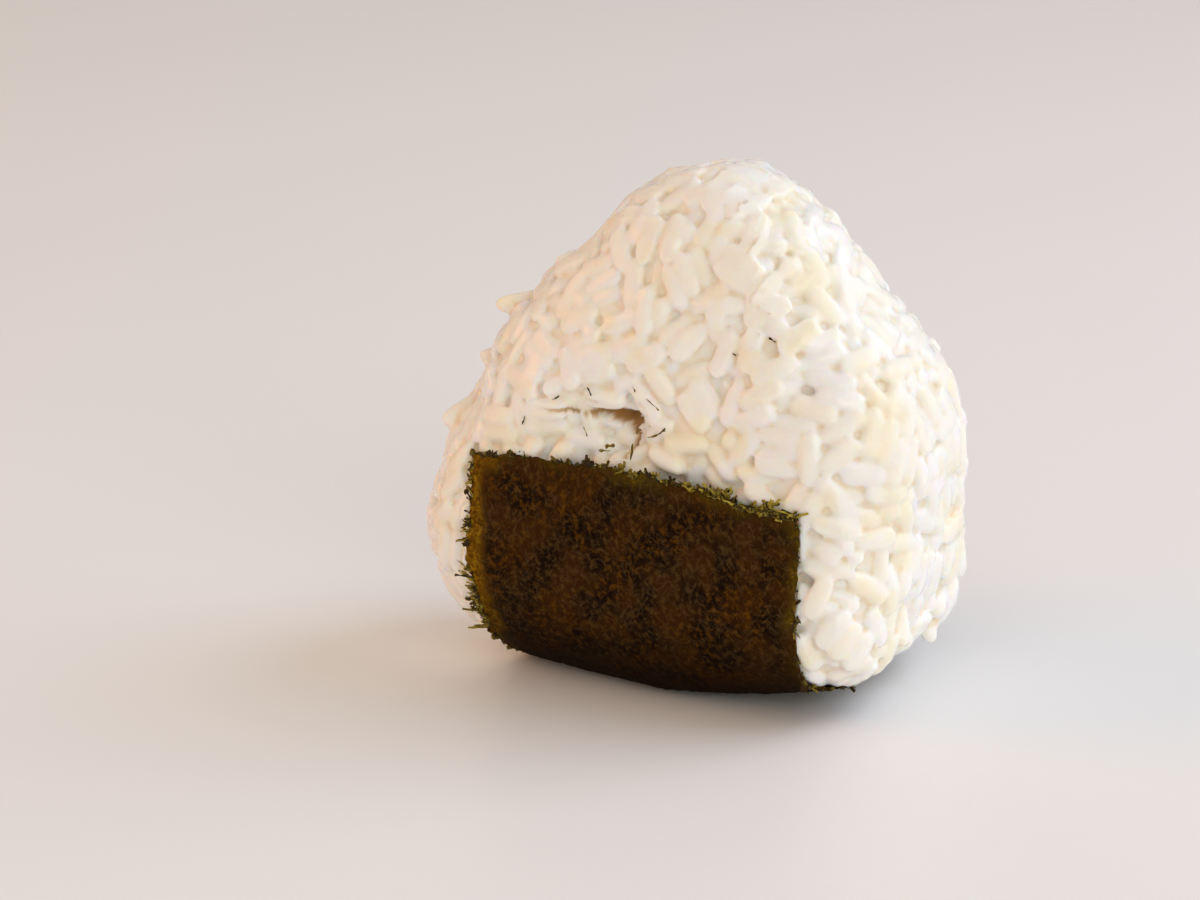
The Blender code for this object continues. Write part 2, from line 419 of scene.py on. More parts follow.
class Packing:
    """Grains as rounded rods that push each other aside until they lie side by side."""

    def __init__(self, surface):
        self.surface = surface
        rng = np.random.default_rng(SEED)
        places, depths = self.lay_fixed()
        fixed = len(places)
        for depth, area in zip(LAYER_DEPTHS, LAYER_AREAS):
            wanted = int(surface.open_area * PACK_SPARE / area)
            found = surface.sample(rng, wanted * 3)
            kept = [point for point in found if surface.bare_distance(point) < TUCK][:wanted]
            places += kept
            depths += [depth] * len(kept)
        self.centres = np.array(places)
        self.depths = np.array(depths)
        count = len(places)
        self.fixed = np.arange(count) < fixed
        self.scales = 1.0 + GRAIN_SPREAD * rng.uniform(-1.0, 1.0, (count, 3))
        self.radii = 0.5 * GRAIN_WIDTH * PRESSED_WIDTH * self.scales[:, 0]
        self.halves = 0.5 * GRAIN_LENGTH * self.scales[:, 2] - self.radii - 0.2 * MM
        self.tilted = rng.random(count) < TILTED_SHARE
        self.depths[fixed:] += rng.uniform(-DEPTH_SPREAD, DEPTH_SPREAD, count - fixed)
        self.depths[fixed:] += LUMP_DEPTH * waves(self.centres[fixed:], LUMP_SIZE, 9)
        normals = nearest(surface.tree, self.centres)[1]
        self.centres[fixed:] -= (normals * self.depths[:, None])[fixed:]
        random_ways = unit(rng.normal(size=(count, 3)))
        flat = unit(random_ways - normals * np.einsum("ij,ij->i", random_ways, normals)[:, None])
        self.ways = unit(flat + normals * (rng.uniform(-0.6, 0.6, count) * self.tilted)[:, None])
        self.ways[:fixed] = self.fixed_ways
        self.hang(normals, rng)
        self.lie_along_ledge(rng)
        home = self.centres[:fixed].copy()
        for step in range(PACK_STEPS):
            if step % PAIR_STEPS == 0:
                pairs = self.close_pairs()
            self.push_apart(pairs)
            if step % SETTLE_STEPS == 0:
                self.settle()
            self.centres[:fixed] = home
            self.ways[:fixed] = self.fixed_ways
        self.sticking = (np.arange(count) < fixed) & (np.arange(count) >= fixed - len(STICKING_GRAINS))

    def lay_fixed(self):
        """Places and depths of the grains that have a place of their own."""
        places, depths, ways = [], [], []
        for place, way, depth in LAID_GRAINS:
            hit, normal = self.surface.in_front(place)
            way = np.array(way) - normal * np.dot(way, normal)
            places.append(hit - normal * depth * MM)
            depths.append(depth * MM)
            ways.append(way / np.linalg.norm(way))
        for end, way in STICKING_GRAINS:
            way = np.array(way) / np.linalg.norm(way)
            places.append(np.array(end) * MM - way * GRAIN_LENGTH * 0.5)
            depths.append(0.0)
            ways.append(way)
        self.fixed_ways = np.array(ways)
        return places, depths

    def hang(self, normals, rng):
        """Grains low on the right flank lie nearly upright."""
        x, z = self.centres[:, 0], self.centres[:, 2]
        share = np.clip((x - 18 * MM) / (8 * MM), 0, 1) * np.clip((34 * MM - z) / (12 * MM), 0, 1)
        upright = unit(np.array(UP) - normals * normals[:, 2:3])
        chosen = (rng.random(len(x)) < 0.85 * share) & ~self.fixed
        self.ways[chosen] = unit(upright + 0.30 * self.ways)[chosen]

    def lie_along_ledge(self, rng):
        x, y, z = self.centres.T
        rise = z - self.surface.ledge_height(x)
        near = (y < -8 * MM) & (x > -15 * MM) & (x < 27 * MM) & (rise > -4.5 * MM) & (rise < 2.6 * MM)
        chosen = near & (rng.random(len(x)) < 0.9) & ~self.fixed
        self.ways[chosen] = unit(np.array((1.0, 0.0, -0.15)) + 0.35 * self.ways)[chosen]

    def close_pairs(self):
        between = self.centres[:, None, :] - self.centres[None, :, :]
        near = (between**2).sum(2) < PAIR_REACH**2
        return np.nonzero(np.triu(near, 1))

    def push_apart(self, pairs):
        first, second = pairs
        ways = self.ways[first], self.ways[second]
        between = self.centres[first] - self.centres[second]
        s, t = closest_on_grains(between, ways, (self.halves[first], self.halves[second]))
        gap = between + s[:, None] * ways[0] - t[:, None] * ways[1]
        distance = np.linalg.norm(gap, axis=1)
        deep = self.radii[first] + self.radii[second] - distance
        hit = deep > 0
        push = (gap / np.maximum(distance, 1e-9)[:, None] * (deep * PUSH_SHARE)[:, None])[hit]
        turn = 1.0 / TURN_ARM**2
        for index, sign, along in ((first[hit], 1.0, s[hit]), (second[hit], -1.0, t[hit])):
            np.add.at(self.centres, index, sign * push)
            np.add.at(self.ways, index, sign * push * (along * turn)[:, None])
        self.ways = unit(self.ways)

    def settle(self):
        depth, normals, places = self.surface.signed_depth(self.centres)
        target = self.depths + self.surface.shelf(places, margin=LEDGE_MARGIN)
        self.centres -= normals * ((target - depth) * SETTLE_SHARE)[:, None]
        out = np.einsum("ij,ij->i", self.ways, normals)
        loss = np.where(self.tilted, LEVEL_TILTED, LEVEL_FLAT)
        self.ways = unit(self.ways - normals * (out * loss)[:, None])

    def as_points(self):
        """A mesh of points that carries each grain's turn, size and tone."""
        normals = nearest(self.surface.tree, self.centres)[1]
        rng = np.random.default_rng(SEED + 1)
        turns = turns_of(self.ways, normals, rng.normal(0.0, 0.4, len(self.centres)))
        self.tones = rng.random(len(self.centres))
        return turned_points("grain_points", self.centres, turns, self.scales, self.tones)


def turns_of(ways, normals, rolls):
    """Euler turns that lay a shape's length along each way, with its flat side towards the normal."""
    turns = []
    for way, normal, roll in zip(ways, normals, rolls):
        z_axis = Vector(way).normalized()
        y_axis = z_axis.cross(Vector(normal)).normalized()
        basis = Matrix((y_axis.cross(z_axis), y_axis, z_axis)).transposed()
        turns.append((basis @ Matrix.Rotation(roll, 3, "Z")).to_euler())
    return np.array(turns)


def turned_points(name, places, turns, sizes, tones):
    mesh = mesh_of(name, places, [])
    set_attribute(mesh, "turn", turns, "FLOAT_VECTOR")
    set_attribute(mesh, "size", sizes, "FLOAT_VECTOR")
    set_attribute(mesh, "tone", tones)
    return mesh


def laid_instances(maker, shape):
    """The shape on every point, turned and sized as the point says."""
    turn = maker.add("GeometryNodeInputNamedAttribute", {"data_type": "FLOAT_VECTOR"}, {"Name": "turn"})
    size = maker.add("GeometryNodeInputNamedAttribute", {"data_type": "FLOAT_VECTOR"}, {"Name": "size"})
    laid = maker.add("GeometryNodeInstanceOnPoints", inputs={
        "Points": maker.inputs["Geometry"], "Instance": shape, "Rotation": turn, "Scale": size,
    })
    return maker.add("GeometryNodeRealizeInstances", inputs={"Geometry": laid})


def roughened(maker, geometry, amount, scale):
    """Every point moved in or out by a little noise."""
    rough = maker.add("ShaderNodeTexNoise", {"noise_dimensions": "4D"}, {
        "Vector": maker.add("GeometryNodeInputPosition"), "W": maker.inputs["Seed"],
        "Scale": scale, "Detail": 1.0,
    })
    offset = maker.add("ShaderNodeVectorMath", {"operation": "SCALE"}, {
        0: maker.add("GeometryNodeInputNormal"), "Scale": (rough - 0.5) * amount * 2.0,
    })
    return maker.add("GeometryNodeSetPosition", inputs={"Geometry": geometry, "Offset": offset})


def place_parts(maker):
    split = maker.add("ShaderNodeSeparateXYZ", inputs={0: maker.add("GeometryNodeInputPosition")})
    return [Value(maker, split.socket.node.outputs[axis]) for axis in range(3)]


def grain_maker(material, segments, rings):
    """Whole cooked grains on points: blunt rods, slightly bent and flattened, each a little uneven."""
    maker = Maker("whole_grains", Length=GRAIN_LENGTH, Width=GRAIN_WIDTH, Thickness=GRAIN_THICKNESS,
                  Bend=0.25 * MM, Unevenness=0.28 * MM, Seed=SEED)
    given = maker.inputs
    sizes = {"Segments": segments, "Rings": rings, "Radius": 1.0}
    ball = maker.add("GeometryNodeMeshUVSphere", inputs=sizes)
    x, y, z = place_parts(maker)
    blunt = (z * z + 1.0) ** 0.5 * (1.0 - z * 0.05)
    shaped = maker.add("ShaderNodeCombineXYZ", inputs={
        0: x * blunt * given["Thickness"] * 0.5 + (z * z - 0.35) * given["Bend"],
        1: y * blunt * given["Width"] * 0.5,
        2: z * given["Length"] * 0.5,
    })
    grain = maker.add("GeometryNodeSetPosition", inputs={"Geometry": ball, "Position": shaped})
    real = laid_instances(maker, grain)
    maker.finish(roughened(maker, real, given["Unevenness"], 430.0), material)
    return maker


# -------- the seaweed's shape
AXIS_HEIGHT = 18.0 * MM
SHEET_CELLS = (140, 290)  # across and along
SHEET_THICKNESS = 0.34 * MM
LOWEST = 0.02 * MM  # that any seaweed keeps from the table
FLECK_HEIGHT = 0.45 * MM  # of the flecks' middles in front of the pressed outline
# Tearing of the front, back, left and right edges: a slow swing and a fine bite.
TORN_EDGES = ((0.30 * MM, 0.30 * MM), (0.5 * MM, 0.4 * MM), (0.65 * MM, 0.5 * MM), (0.25 * MM, 0.3 * MM))
# Clumps of shreds along an edge: edge, clumps, shreds in each, first and last share of the edge, how far
# they reach out in millimetres, length, how much they turn away from straight out, and how pale they are.
SHRED_CLUMPS = (
    (0, 60, 3, 0.0, 1.0, 0.25, 0.8, 1.5, 0.35),
    (0, 24, 6, 0.45, 1.0, 0.6, 1.0, 2.0, 0.7),
    (0, 16, 9, 0.72, 0.99, 1.8, 1.2, 2.2, 1.2),
    (1, 50, 3, 0.0, 1.0, 0.5, 1.0, 1.5, 0.7),
    (2, 60, 3, 0.0, 1.0, 0.3, 0.9, 1.2, 0.5),
    (2, 9, 6, 0.06, 0.30, 0.8, 1.6, 1.0, 0.8),
    (2, 6, 4, 0.16, 0.25, 0.5, 2.8, 0.4, 0.7),
    (3, 40, 2, 0.0, 1.0, 0.2, 0.7, 1.4, 0.2),
    (3, 7, 5, 0.05, 0.30, 0.8, 1.0, 1.8, 0.6),
)
# Crumbs and threads on the rice: x and z on the front, way, and share of thickness, width, length.
FLECKS = (
    ((23.1, 49.4), (0.95, 0.0, 0.20), (0.8, 0.7, 1.3)),
    ((22.6, 48.6), (0.60, 0.0, -0.60), (0.8, 0.6, 0.9)),
    ((21.4, 54.2), (0.90, 0.0, -0.45), (0.6, 0.4, 1.6)),
    ((16.5, 51.9), (0.80, 0.0, -0.20), (0.6, 0.5, 0.9)),
    ((-15.7, 40.4), (0.0, -0.2, -1.0), (0.9, 0.5, 1.8)),
    ((-11.0, 43.1), (0.90, 0.0, 0.40), (0.7, 0.4, 1.8)),
    ((-5.5, 45.3), (0.60, 0.0, -0.75), (0.7, 0.4, 1.5)),
    ((1.4, 46.3), (0.60, 0.0, -0.78), (0.8, 0.25, 2.6)),
    ((3.6, 44.6), (0.84, 0.0, -0.52), (0.8, 0.25, 3.2)),
    ((3.7, 38.9), (0.93, -0.15, 0.25), (1.0, 0.45, 3.0)),
    ((5.9, 40.0), (0.85, -0.20, 0.45), (1.1, 0.65, 2.6)),
    ((1.3, 37.7), (0.05, -0.2, -1.0), (1.0, 0.5, 3.0)),
    ((1.5, 38.9), (0.70, -0.2, 0.60), (0.9, 0.6, 0.9)),
    ((-2.6, 37.0), (0.90, -0.30, 0.35), (1.3, 1.0, 3.4)),
    ((-3.4, 36.6), (0.95, -0.10, -0.10), (1.2, 0.8, 2.6)),
    ((-6.0, 38.0), (-0.30, -0.10, 1.0), (0.7, 0.3, 2.0)),
)


class Wrap:
    """The strip as a sheet round a level axis, from its front top edge, under the foot, to its back one."""

    def __init__(self, surface):
        self.surface = surface
        x, y, z = surface.nori_points.T
        angle = np.arctan2(y, AXIS_HEIGHT - z)
        self.angles = np.linspace(angle.min() + 0.1, angle.max() - 0.1, 34)
        near = [np.abs(angle - here) < 0.12 for here in self.angles]
        self.left = smoothed(np.array([x[chosen].min() for chosen in near]))
        self.right = smoothed(np.array([x[chosen].max() for chosen in near]))
        self.xs = np.linspace(-23.5 * MM, 26.0 * MM, 25)
        near = [np.abs(x - here) < 2.0 * MM for here in self.xs]
        self.start = smoothed(np.array([angle[chosen].min() for chosen in near]))
        self.end = smoothed(np.array([angle[chosen].max() for chosen in near]))
        self.torn = [self.torn_edge(seed, *sizes) for seed, sizes in enumerate(TORN_EDGES)]

    def torn_edge(self, seed, swing, bite):
        """How far the tearing eats into an edge, at every 0.1 mm of it."""
        run = np.stack([np.arange(0.0, 140 * MM, 0.1 * MM)] * 3, 1) * (1.0, 0.0, 0.0)
        deep = 0.5 * swing + swing * waves(run, 4.2 * MM, 11 + seed) + bite * waves(run, 1.0 * MM, 21 + seed)
        return deep + 1.6 * bite * np.maximum(waves(run, 2.3 * MM, 31 + seed) - 0.25, 0.0)

    def eaten(self, edge, place):
        return np.interp(place, np.arange(len(self.torn[edge])) * 0.1 * MM, self.torn[edge])

    def coordinates(self, across, along):
        """The place along x and the angle round the axis of shares across and along the strip."""
        x = np.interp(across, (0.0, 1.0), (self.xs[0], self.xs[-1]))
        reach = 19 * MM  # of the strip from its axis
        for _ in range(6):
            start = np.interp(x, self.xs, self.start) + self.eaten(0, x + 30 * MM) / reach
            end = np.interp(x, self.xs, self.end) - self.eaten(1, x + 30 * MM) / reach
            angle = start + (end - start) * along
            run = (angle + 3.0) * reach
            left = np.interp(angle, self.angles, self.left) + self.eaten(2, run)
            right = np.interp(angle, self.angles, self.right) - self.eaten(3, run)
            x = left + across * (right - left)
        return x, angle

    def reach(self, x, angle):
        """How far the strip's outer face is from the axis at these places."""
        found = np.empty(len(x))
        for index, way in enumerate(zip(np.zeros_like(x), np.sin(angle), -np.cos(angle))):
            middle = Vector((x[index], 0.0, AXIS_HEIGHT))
            start = middle + Vector(way) * 0.08
            hit = self.surface.tree.ray_cast(start, -Vector(way))[0]
            strip = self.surface.nori.ray_cast(start, -Vector(way))[0]
            found[index] = max(
                (hit - middle).length + 0.8 * MM if hit is not None else 0.0,
                (strip - middle).length if strip is not None else 0.0,
            )
        return found

    def at(self, x, angle, reach):
        return np.stack([x, np.sin(angle) * reach, AXIS_HEIGHT - np.cos(angle) * reach], 1)

    def edge_frames(self, edge, places):
        """Points along one edge, the way out of the sheet there, and the sheet's outward direction."""
        across = places if edge < 2 else np.full(len(places), edge - 2.0)
        along = np.full(len(places), float(edge)) if edge < 2 else places
        step = 0.02
        inner_across = across if edge < 2 else np.abs(across - step)
        inner_along = np.abs(along - step) if edge < 2 else along
        points = []
        for a, b in ((across, along), (inner_across, inner_along)):
            x, angle = self.coordinates(a, b)
            points.append(self.at(x, angle, self.reach(x, angle)))
        outward = unit(np.stack([np.zeros_like(x), np.sin(angle), -np.cos(angle)], 1))
        return points[0], unit(points[0] - points[1]), outward


def smoothed(values):
    padded = np.concatenate([values[:1], values, values[-1:]])
    return (padded[:-2] + padded[1:-1] * 2.0 + padded[2:]) / 4.0


def waves(places, size, seed, octaves=3):
    """Smooth noise from -1 to 1 over two or three coordinates in metres."""
    shift = Vector((seed * 7.3, seed * 3.1, seed * 5.7))
    found = [noise.fractal(Vector(place) / size + shift, 1.0, 2.0, octaves) for place in places]
    return np.array(found)


def blurred(grid, rounds):
    """A grid of values, each drawn towards its neighbours'."""
    for _ in range(rounds):
        for _ in range(2):
            padded = np.pad(grid, ((1, 1), (0, 0)), "edge")
            grid = ((padded[:-2] + padded[1:-1] * 2.0 + padded[2:]) / 4.0).T
    return grid


def nori_mesh(wrap):
    """The strip with torn edges and soft swells, and how far each point is from the sheet's edge."""
    columns, rows = SHEET_CELLS
    across, along = np.meshgrid(np.linspace(0.0, 1.0, columns + 1), np.linspace(0.0, 1.0, rows + 1))
    across, along = across.ravel(), along.ravel()
    x, angle = wrap.coordinates(across, along)
    reach = blurred(wrap.reach(x, angle).reshape(rows + 1, columns + 1), 4)
    run = np.zeros_like(reach)
    run[1:] = np.cumsum(np.abs(np.diff(angle.reshape(reach.shape), axis=0)) * reach[1:], axis=0)
    flat = np.stack([x, run.ravel(), np.zeros(len(x))], 1)
    width = np.interp(angle, wrap.angles, wrap.right - wrap.left)
    total = np.repeat(run[-1:], rows + 1, 0).ravel()
    edge = np.stack([across * width, (1.0 - across) * width, run.ravel(), total - run.ravel()], 1)
    swell = 0.22 * MM * waves(flat, 10 * MM, 4) + 0.10 * MM * waves(flat, 3.0 * MM, 5)
    swell += 0.05 * MM * waves(flat, 0.9 * MM, 6) - 0.12 * MM
    curl = 0.35 * MM * np.exp(-edge.min(1) / (1.2 * MM)) * waves(flat, 3.0 * MM, 7)
    points = wrap.at(x, angle, reach.ravel() + swell + curl)
    points[:, 2] = np.maximum(points[:, 2], LOWEST)
    corner = (np.arange(rows)[:, None] * (columns + 1) + np.arange(columns)).ravel()
    faces = np.stack([corner, corner + 1, corner + columns + 2, corner + columns + 1], 1)
    mesh = mesh_of("nori_sheet", points, faces)
    set_attribute(mesh, "sheet", flat, "FLOAT_VECTOR")
    set_attribute(mesh, "edge", edge.min(1) / MM)
    set_attribute(mesh, "left", np.clip(1.0 - edge[:, 0] / (7 * MM), 0.0, 1.0))
    mesh.update()
    middle = Vector((0.0, 0.0, AXIS_HEIGHT))
    if sum(polygon.normal.dot(polygon.center - middle) for polygon in mesh.polygons) < 0:
        mesh.flip_normals()
    holder = linked("sheet", mesh)
    solid = holder.modifiers.new("thickness", "SOLIDIFY")
    solid.thickness = SHEET_THICKNESS
    solid.offset = -1.0
    return taken(holder, "nori_sheet")


def shred_maker(material):
    """Torn shreds of seaweed on points: thin tapering strips that curl and crumple."""
    maker = Maker("nori_shreds", Length=0.75 * MM, Width=0.62 * MM, Thickness=0.20 * MM, Curl=0.30 * MM,
                  Crumple=0.42 * MM, Seed=SEED)
    given = maker.inputs
    cone = maker.add("GeometryNodeMeshCone", inputs={
        "Vertices": 5, "Side Segments": 4, "Radius Top": 0.55, "Radius Bottom": 1.0, "Depth": 1.0,
    })
    x, y, z = place_parts(maker)
    shaped = maker.add("ShaderNodeCombineXYZ", inputs={
        0: x * given["Thickness"] * 0.5 + z * z * given["Curl"],
        1: y * given["Width"] * 0.5,
        2: z * given["Length"],
    })
    shred = maker.add("GeometryNodeSetPosition", inputs={"Geometry": cone, "Position": shaped})
    real = laid_instances(maker, shred)
    maker.finish(roughened(maker, real, given["Crumple"], 1500.0), material)
    return maker


def edge_shreds(wrap, sheet):
    """Shreds in clumps along the torn edges: places, ways, outward directions, sizes and tones."""
    rng = np.random.default_rng(SEED + 5)
    groups = []
    for edge, clumps, each, low, high, reach, size, spread, pale in SHRED_CLUMPS:
        middles = rng.uniform(low, high, clumps)
        heights = reach * MM * rng.uniform(0.25, 1.0, clumps)
        which = np.repeat(np.arange(clumps), each)
        shares = np.clip(middles[which] + rng.normal(0.0, 0.009, len(which)), 0.0, 1.0)
        points, ways, outward = wrap.edge_frames(edge, shares)
        rise = rng.random(len(which)) * heights[which] - 0.35 * MM
        level = unit(np.cross(ways, outward))
        lean = rng.normal(0.0, spread, (2, len(which), 1))
        points = points + ways * rise[:, None] - outward * rng.uniform(0.0, 0.25, (len(which), 1)) * MM
        ways = unit(ways + level * lean[0] + outward * lean[1] * 0.4)
        sizes = np.exp(rng.normal(0.0, 0.35, (len(which), 3))) * (1.0, 1.0 / max(size, 1.0) ** 0.5, size)
        from_sheet = np.array([sheet.find_nearest(Vector(point))[3] for point in points])
        held = from_sheet < (reach + 0.2) * MM
        group = (points, ways, outward, sizes, rng.random(len(which)) * pale)
        groups.append([values[held] for values in group])
    return [np.concatenate(parts) for parts in zip(*groups)]


def rice_flecks(surface):
    """Single crumbs and threads of seaweed on the rice, given by place, way and size."""
    places, ways, normals, sizes = [], [], [], []
    for place, way, size in FLECKS:
        hit, normal = surface.in_front(place)
        places.append(hit + normal * FLECK_HEIGHT)
        ways.append(way)
        normals.append(normal)
        sizes.append(size)
    found = [np.array(values) for values in (places, ways, normals, sizes)]
    return *found, np.linspace(0.0, 0.5, len(sizes))


def add_nori(surface):
    wrap = Wrap(surface)
    sheet = nori_mesh(wrap)
    sheet_tree = BVHTree.FromPolygons(coordinates(sheet).tolist(), triangles(sheet).tolist())
    new_piece("nori_sheet", sheet, nori_finish(), "dried_seaweed", "nori_strip")
    torn = shred_finish()
    maker = shred_maker(torn)
    rng = np.random.default_rng(SEED + 6)
    kinds = {"nori_shreds": edge_shreds(wrap, sheet_tree), "nori_flecks": rice_flecks(surface)}
    for name, (places, ways, normals, sizes, tones) in kinds.items():
        turns = turns_of(ways, normals, rng.normal(0.0, 0.9, len(places)))
        shreds = maker.run(turned_points(name, places, turns, sizes, tones), name, Seed=SEED)
        points = coordinates(shreds)
        points[:, 2] = np.maximum(points[:, 2], LOWEST)
        shreds.vertices.foreach_set("co", points.astype(np.float32).ravel())
        new_piece(name, shreds, torn, "dried_seaweed")


# -------- finishes
def rice_finish():
    finish = Finish("cooked_rice", {
        "Subsurface Weight": 1.0,
        "Subsurface Radius": (1.0, 0.74, 0.50),
        "Subsurface Scale": 1.7 * MM,
        "IOR": 1.38,
        "Coat Roughness": 0.10,
        "Coat IOR": 1.33,
    })
    tone = finish.attribute("tone")
    clouds = finish.noise(9 * MM)
    mottle = finish.noise(1.1 * MM)
    cream = finish.between(tone * 0.5 + clouds * 0.6, 0.3, 0.75)
    body = finish.mix(cream, (0.92, 0.885, 0.81), (0.95, 0.938, 0.92))
    # Painted warm shade: patches of grains that lie deeper, from the same waves that sink them, turn
    # yellower, broken up at random by the clouds.
    valley = finish.between(finish.attribute("valley") + (clouds - 0.5) * 0.6, 0.0, 0.6)
    low_patch_shaded = finish.mix(valley * 0.6, body, (0.91, 0.83, 0.63))
    # Painted shade: the creases between grains, found as depth under the evened skin, turn darker and
    # warmer.
    crease_shade = finish.between(finish.attribute("crease"), 0.03, 0.25)
    crease = finish.mix(crease_shade * 0.5, low_patch_shaded, (0.86, 0.72, 0.47))
    # Painted shade: the inside of the crack is darkened to a warm brown.
    warm = finish.mix(finish.between(finish.attribute("hollow"), 0.1, 0.9), crease, (0.55, 0.33, 0.13))
    film = finish.between(finish.noise(4 * MM) + tone * 0.25, 0.48, 0.72) * 0.9
    fine = finish.noise(0.55 * MM, detail=2.0)
    return finish.use(
        Base_Color=warm, Roughness=0.30 + mottle * 0.25, Coat_Weight=film,
        Normal=finish.bump(fine, 0.06 * MM, 0.6),
    )


def nori_finish():
    finish = Finish("dried_seaweed", {"Specular IOR Level": 0.04, "IOR": 1.4})
    sheet = finish.add("ShaderNodeAttribute", {"attribute_name": "sheet"}, out="Vector")
    edge = finish.attribute("edge")
    left = finish.attribute("left")
    inputs = {"Vector": sheet, "Scale": 260.0, "Detail": 2.0}
    wander = finish.add("ShaderNodeTexNoise", inputs=inputs, out="Color")
    bent = finish.add("ShaderNodeVectorMath", {"operation": "MULTIPLY_ADD"}, {
        0: wander, 1: (0.0016, 0.0016, 0.0), 2: sheet,
    })
    blotch = finish.noise(6.0 * MM, detail=2.0, place=sheet)
    clump = finish.noise(1.0 * MM, detail=4.0, roughness=0.7, place=sheet)
    drift = finish.noise(9.0 * MM, detail=2.0, place=sheet)
    felt = None
    for turn, seed in ((0.2, 1.0), (1.25, 2.0), (2.3, 3.0)):
        laid = finish.add("ShaderNodeMapping", {"vector_type": "TEXTURE"}, {
            "Vector": bent, "Location": (seed, seed * 0.7, 0.0), "Rotation": (0.0, 0.0, turn),
            "Scale": (4.5, 1.0, 1.0),
        })
        thread = finish.between(finish.noise(0.42 * MM, detail=1.0, place=laid), 0.54, 0.74)
        patch = finish.between(finish.noise(2.6 * MM, detail=1.0, place=laid), 0.36, 0.62)
        felt = thread * patch if felt is None else felt.maths("MAXIMUM", thread * patch)
    dark = finish.mix(finish.between(blotch, 0.40, 0.60), (0.008, 0.0033, 0.0018), (0.037, 0.0130, 0.0020))
    light = finish.mix(finish.between(drift, 0.40, 0.60), (0.074, 0.041, 0.012), (0.108, 0.043, 0.003))
    mottled = finish.mix(finish.between(clump, 0.44, 0.68) * 0.85, dark, light)
    fibrous = finish.mix(felt * 0.24, mottled, (0.14, 0.100, 0.045))
    wander = (clump - 0.5) * 12.0 + (blotch - 0.5) * 9.0
    band = finish.between(edge - left * 3.4 + wander, 1.8, -1.2)
    amber = finish.mix(left, (0.15, 0.092, 0.004), (0.27, 0.120, 0.001))
    gold = finish.mix(finish.between(clump, 0.50, 0.66), amber, (0.40, 0.250, 0.010))
    patchy = felt * 0.4 + finish.between(clump, 0.38, 0.60) * 0.45
    rimmed = finish.mix(band * (patchy + 0.25), fibrous, gold)
    # Painted shade: the strip turns nearly black towards the table, from 17 mm down to 1 mm above it.
    foot = finish.between(finish.height(), 17.0 * MM, 1.0 * MM)
    foot_shaded = finish.mix(foot * 0.88, rimmed, (0.007, 0.0025, 0.0006))
    relief = felt * 0.6 + clump * 0.8 + finish.noise(0.3 * MM, place=sheet) * 0.3
    return finish.use(
        Base_Color=foot_shaded, Roughness=0.62 + clump * 0.25, Normal=finish.bump(relief, 0.16 * MM, 0.9),
    )


def shred_finish():
    """Torn seaweed is thin, so light turns it olive."""
    finish = Finish("torn_seaweed", {"Specular IOR Level": 0.2, "Subsurface Weight": 0.35,
                                     "Subsurface Radius": (1.0, 0.9, 0.2), "Subsurface Scale": 0.4 * MM})
    tone = finish.attribute("tone")
    speck = finish.noise(0.7 * MM, detail=2.0)
    share = finish.between(tone * 0.8 + speck * 0.5, 0.30, 1.0)
    colour = finish.mix(share, (0.030, 0.017, 0.003), (0.42, 0.33, 0.045))
    fine = finish.noise(0.25 * MM)
    return finish.use(Base_Color=colour, Roughness=0.5 + speck * 0.3, Normal=finish.bump(fine, 0.05 * MM))


def plain_finish(name, colour, roughness):
    finish = Finish(name, {"Roughness": roughness})
    cloud = finish.noise(120 * MM)
    return finish.use(Base_Color=finish.mix(cloud, colour, [c * 0.97 for c in colour]))


# -------- rice pieces
PROUD_FRONT = 1.0 * MM  # how far grains stand out of the pressed faces
PROUD_FLANK = 1.25 * MM
PRESS_START = 0.30 * MM
PIT_DEPTH = 0.42 * MM  # under the rice around it, beyond which a pit is filled with soft rice
PIT_FILL = 0.92  # share of the rest of its depth that is filled
EVEN_STEP = 0.8  # of the way to its neighbours' middle that a point is drawn each time
CREASE_ROUNDS, PIT_ROUNDS = 8, 60  # how often points are evened out to find creases and pits
CRACK_ROUNDS = 5  # and to soften the crack
CRACK_FRONT = -6.0  # y in millimetres, behind which there is no crack
FULL_WIDTH = 0.5  # in millimetres, from which it has its whole depth
UNDER_DEPTH = 0.12 * MM  # under the outline, where the seaweed covers the rice
UNDER_COVER = 0.46 * MM  # from the seaweed, where rice is under it
UNDER_RIM = 0.15 * MM
RIM_HEIGHT = 0.80 * MM  # that rice may reach at the seaweed's rim
COVER_REACH = 2.0 * MM  # how far out the seaweed is looked for
TABLE_GAP = 0.35 * MM  # under the rice
CORE_UNEVENNESS, CORE_WAVE = 0.35 * MM, 6 * MM
COVERED_CORE = 0.35 * MM  # depth of the core where the seaweed covers it


def pressed(points, surface, loose):
    """Points drawn flat against the pressed outline, and kept under the seaweed and above the table."""
    depth, normals, places = surface.signed_depth(points)
    height = -depth
    flank = smooth_step((np.abs(normals[:, 0]) - 0.3) / 0.4)
    room = PROUD_FRONT + (PROUD_FLANK - PROUD_FRONT) * flank - PRESS_START
    over = np.maximum(height - PRESS_START, 0.0)
    limited = np.where(over > 0, PRESS_START + room * (1.0 - np.exp(-over / room)), height)
    limited = np.where(loose, height, limited)
    cover = np.array([surface.cover_distance(place) for place in places])
    under = smooth_step((UNDER_COVER - cover) / UNDER_RIM)
    for index in np.nonzero((cover < COVER_REACH) & (under < 1.0))[0]:
        if surface.nori.ray_cast(Vector(places[index]), Vector(normals[index]), COVER_REACH)[0] is not None:
            under[index] = 1.0
    limited = np.where(under > 0, np.minimum(limited, (1.0 - under) * RIM_HEIGHT - UNDER_DEPTH), limited)
    moved = points + normals * (limited - height)[:, None]
    moved[:, 2] = np.maximum(moved[:, 2], TABLE_GAP)
    return moved, normals


